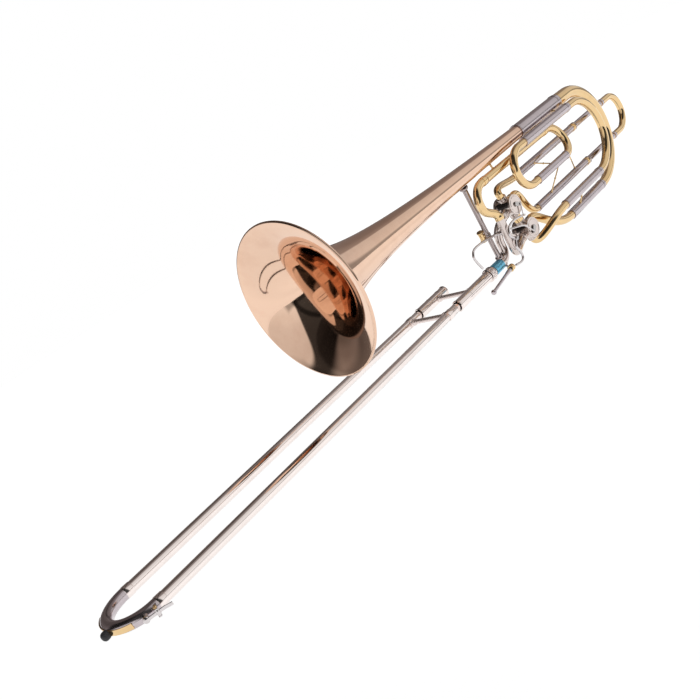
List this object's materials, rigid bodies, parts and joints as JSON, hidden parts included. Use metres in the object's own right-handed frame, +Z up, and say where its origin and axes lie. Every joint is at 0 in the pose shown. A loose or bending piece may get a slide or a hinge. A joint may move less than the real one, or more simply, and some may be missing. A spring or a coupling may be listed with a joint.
{
  "type": "bass trombone",
  "caption": "Bass trombone with a long hand slide, a flared bell, two rotary valves with levers, and tuning slides on the main tube and both wraps.",
  "frame": {"origin": "centre of the slide lock nut, on the axis of the hand slide's bell-side tube", "axes": "+X along the slide tubes towards the player, +Y towards the mouthpiece-side tube, +Z up towards the bell"},
  "size_m": [1.5088, 0.2521, 0.3295],
  "materials": {
    "rose_brass": "polished lacquered rose brass",
    "yellow_brass": "polished lacquered yellow brass",
    "nickel_silver": "polished nickel silver",
    "chrome": "plated slide tube",
    "steel": "machined",
    "blue_film": "thin film",
    "rubber": "matt",
    "cork": "cork"
  },
  "bodies": {
    "root": {"bell": "rose_brass", "bell_stem": "rose_brass", "upper_tuning_sleeve": "nickel_silver", "lower_tuning_sleeve": "nickel_silver", "main_lower_tube": "yellow_brass", "valve_link_tube": "yellow_brass", "upper_valve_casing": "nickel_silver", "lower_valve_casing": "nickel_silver", "upper_bearing_plate": "steel", "lower_bearing_plate": "steel", "upper_valve_cap": "nickel_silver", "lower_valve_cap": "nickel_silver", "gooseneck": "nickel_silver", "slide_receiver": "nickel_silver", "receiver_band": "blue_film", "hand_brace": "nickel_silver", "hand_rest": "nickel_silver", "bell_stem_brace": "yellow_brass", "upper_sleeve_brace": "yellow_brass", "coil_brace": "yellow_brass", "lower_coil_brace": "yellow_brass", "second_wrap_brace": "yellow_brass", "lower_sleeve_brace": "yellow_brass", "first_wrap_curve": "yellow_brass", "first_wrap_lower_sleeve": "nickel_silver", "first_wrap_upper_sleeve": "nickel_silver", "coil_left_bend": "yellow_brass", "coil_leg": "nickel_silver", "coil_long_tube": "yellow_brass", "first_wrap_down_tube": "nickel_silver", "second_wrap_strap": "yellow_brass", "second_wrap_upper_sleeve": "nickel_silver", "second_wrap_lower_sleeve": "nickel_silver", "second_wrap_elbow": "yellow_brass", "bell_side_barrel": "nickel_silver", "mouth_side_barrel": "nickel_silver", "bell_side_inner_tube": "chrome", "mouth_side_inner_tube": "chrome", "inner_brace": "nickel_silver", "finger_lever_pin": "steel", "thumb_lever_pin": "steel", "lever_spring": "steel"},
    "lock_nut": {"lock_nut": "nickel_silver"},
    "hand_slide": {"bell_side_outer_tube": "chrome", "mouth_side_outer_tube": "chrome", "outer_brace": "nickel_silver", "slide_crook": "yellow_brass", "slide_bumper": "rubber", "water_key_spring": "yellow_brass"},
    "water_key": {"water_key_lever": "chrome", "water_key_cork": "cork"},
    "main_tuning_slide": {"main_tuning_slide": "yellow_brass"},
    "first_wrap_slide": {"first_wrap_slide": "yellow_brass"},
    "second_wrap_slide": {"second_wrap_slide": "yellow_brass"},
    "thumb_lever": {"thumb_lever": "chrome"},
    "finger_lever": {"finger_lever": "chrome"},
    "upper_rotor": {"upper_rotor": "steel"},
    "lower_rotor": {"lower_rotor": "steel"},
    "thumb_link": {"thumb_link": "chrome"},
    "finger_link": {"finger_link": "chrome"}
  },
  "joints": [
    {"name": "hand_slide_travel", "type": "slide", "parent": "root", "child": "hand_slide", "axis": [-1, 0, 0], "range_m": [0, 0.585]},
    {"name": "lock_nut_turn", "type": "hinge", "parent": "root", "child": "lock_nut", "pos_m": [0, 0, 0], "axis": [1, 0, 0], "continuous": true},
    {"name": "main_tuning_travel", "type": "slide", "parent": "root", "child": "main_tuning_slide", "axis": [1, 0, 0], "range_m": [0, 0.06]},
    {"name": "first_wrap_travel", "type": "slide", "parent": "root", "child": "first_wrap_slide", "axis": [1, 0, 0], "range_m": [0, 0.06]},
    {"name": "second_wrap_travel", "type": "slide", "parent": "root", "child": "second_wrap_slide", "axis": [1, 0, 0], "range_m": [0, 0.08]},
    {"name": "thumb_lever_hinge", "type": "hinge", "parent": "root", "child": "thumb_lever", "pos_m": [0.046, -0.0255, 0.054], "axis": [0, -1, 0], "range_deg": [0, 15], "stiffness_Nm_per_rad": 0.3, "springref_deg": -11.46},
    {"name": "finger_lever_hinge", "type": "hinge", "parent": "root", "child": "finger_lever", "pos_m": [0.038, -0.0548, 0.04], "axis": [0, -1, 0], "range_deg": [0, 11.6], "stiffness_Nm_per_rad": 0.3, "springref_deg": -11.46},
    {"name": "lower_rotor_turn", "type": "hinge", "parent": "root", "child": "lower_rotor", "pos_m": [0.12452, -0.02, 0.02362], "axis": [0, -1, 0], "range_deg": [-90.5, 0]},
    {"name": "upper_rotor_turn", "type": "hinge", "parent": "root", "child": "upper_rotor", "pos_m": [0.104, -0.02, 0.08], "axis": [0, -1, 0], "range_deg": [0, 90.5]},
    {"name": "thumb_link_swing", "type": "hinge", "parent": "thumb_lever", "child": "thumb_link", "pos_m": [0.098, -0.0408, 0.038], "axis": [0, -1, 0], "range_deg": [-18, 0]},
    {"name": "finger_link_swing", "type": "hinge", "parent": "finger_lever", "child": "finger_link", "pos_m": [0.106, -0.0408, 0.056], "axis": [0, -1, 0], "range_deg": [-12, 0]},
    {"name": "water_key_hinge", "type": "hinge", "parent": "hand_slide", "child": "water_key", "pos_m": [-0.79932, -0.0181, 0], "axis": [0, 0, 1], "range_deg": [0, 12], "stiffness_Nm_per_rad": 0.05, "springref_deg": -17.19}
  ],
  "couplings": [
    {"joint": "lower_rotor_turn", "follows": "thumb_lever_hinge", "ratio": -6},
    {"joint": "thumb_link_swing", "follows": "thumb_lever_hinge", "ratio": -1.126},
    {"joint": "upper_rotor_turn", "follows": "finger_lever_hinge", "ratio": 7.75},
    {"joint": "finger_link_swing", "follows": "finger_lever_hinge", "ratio": -0.95}
  ]
}
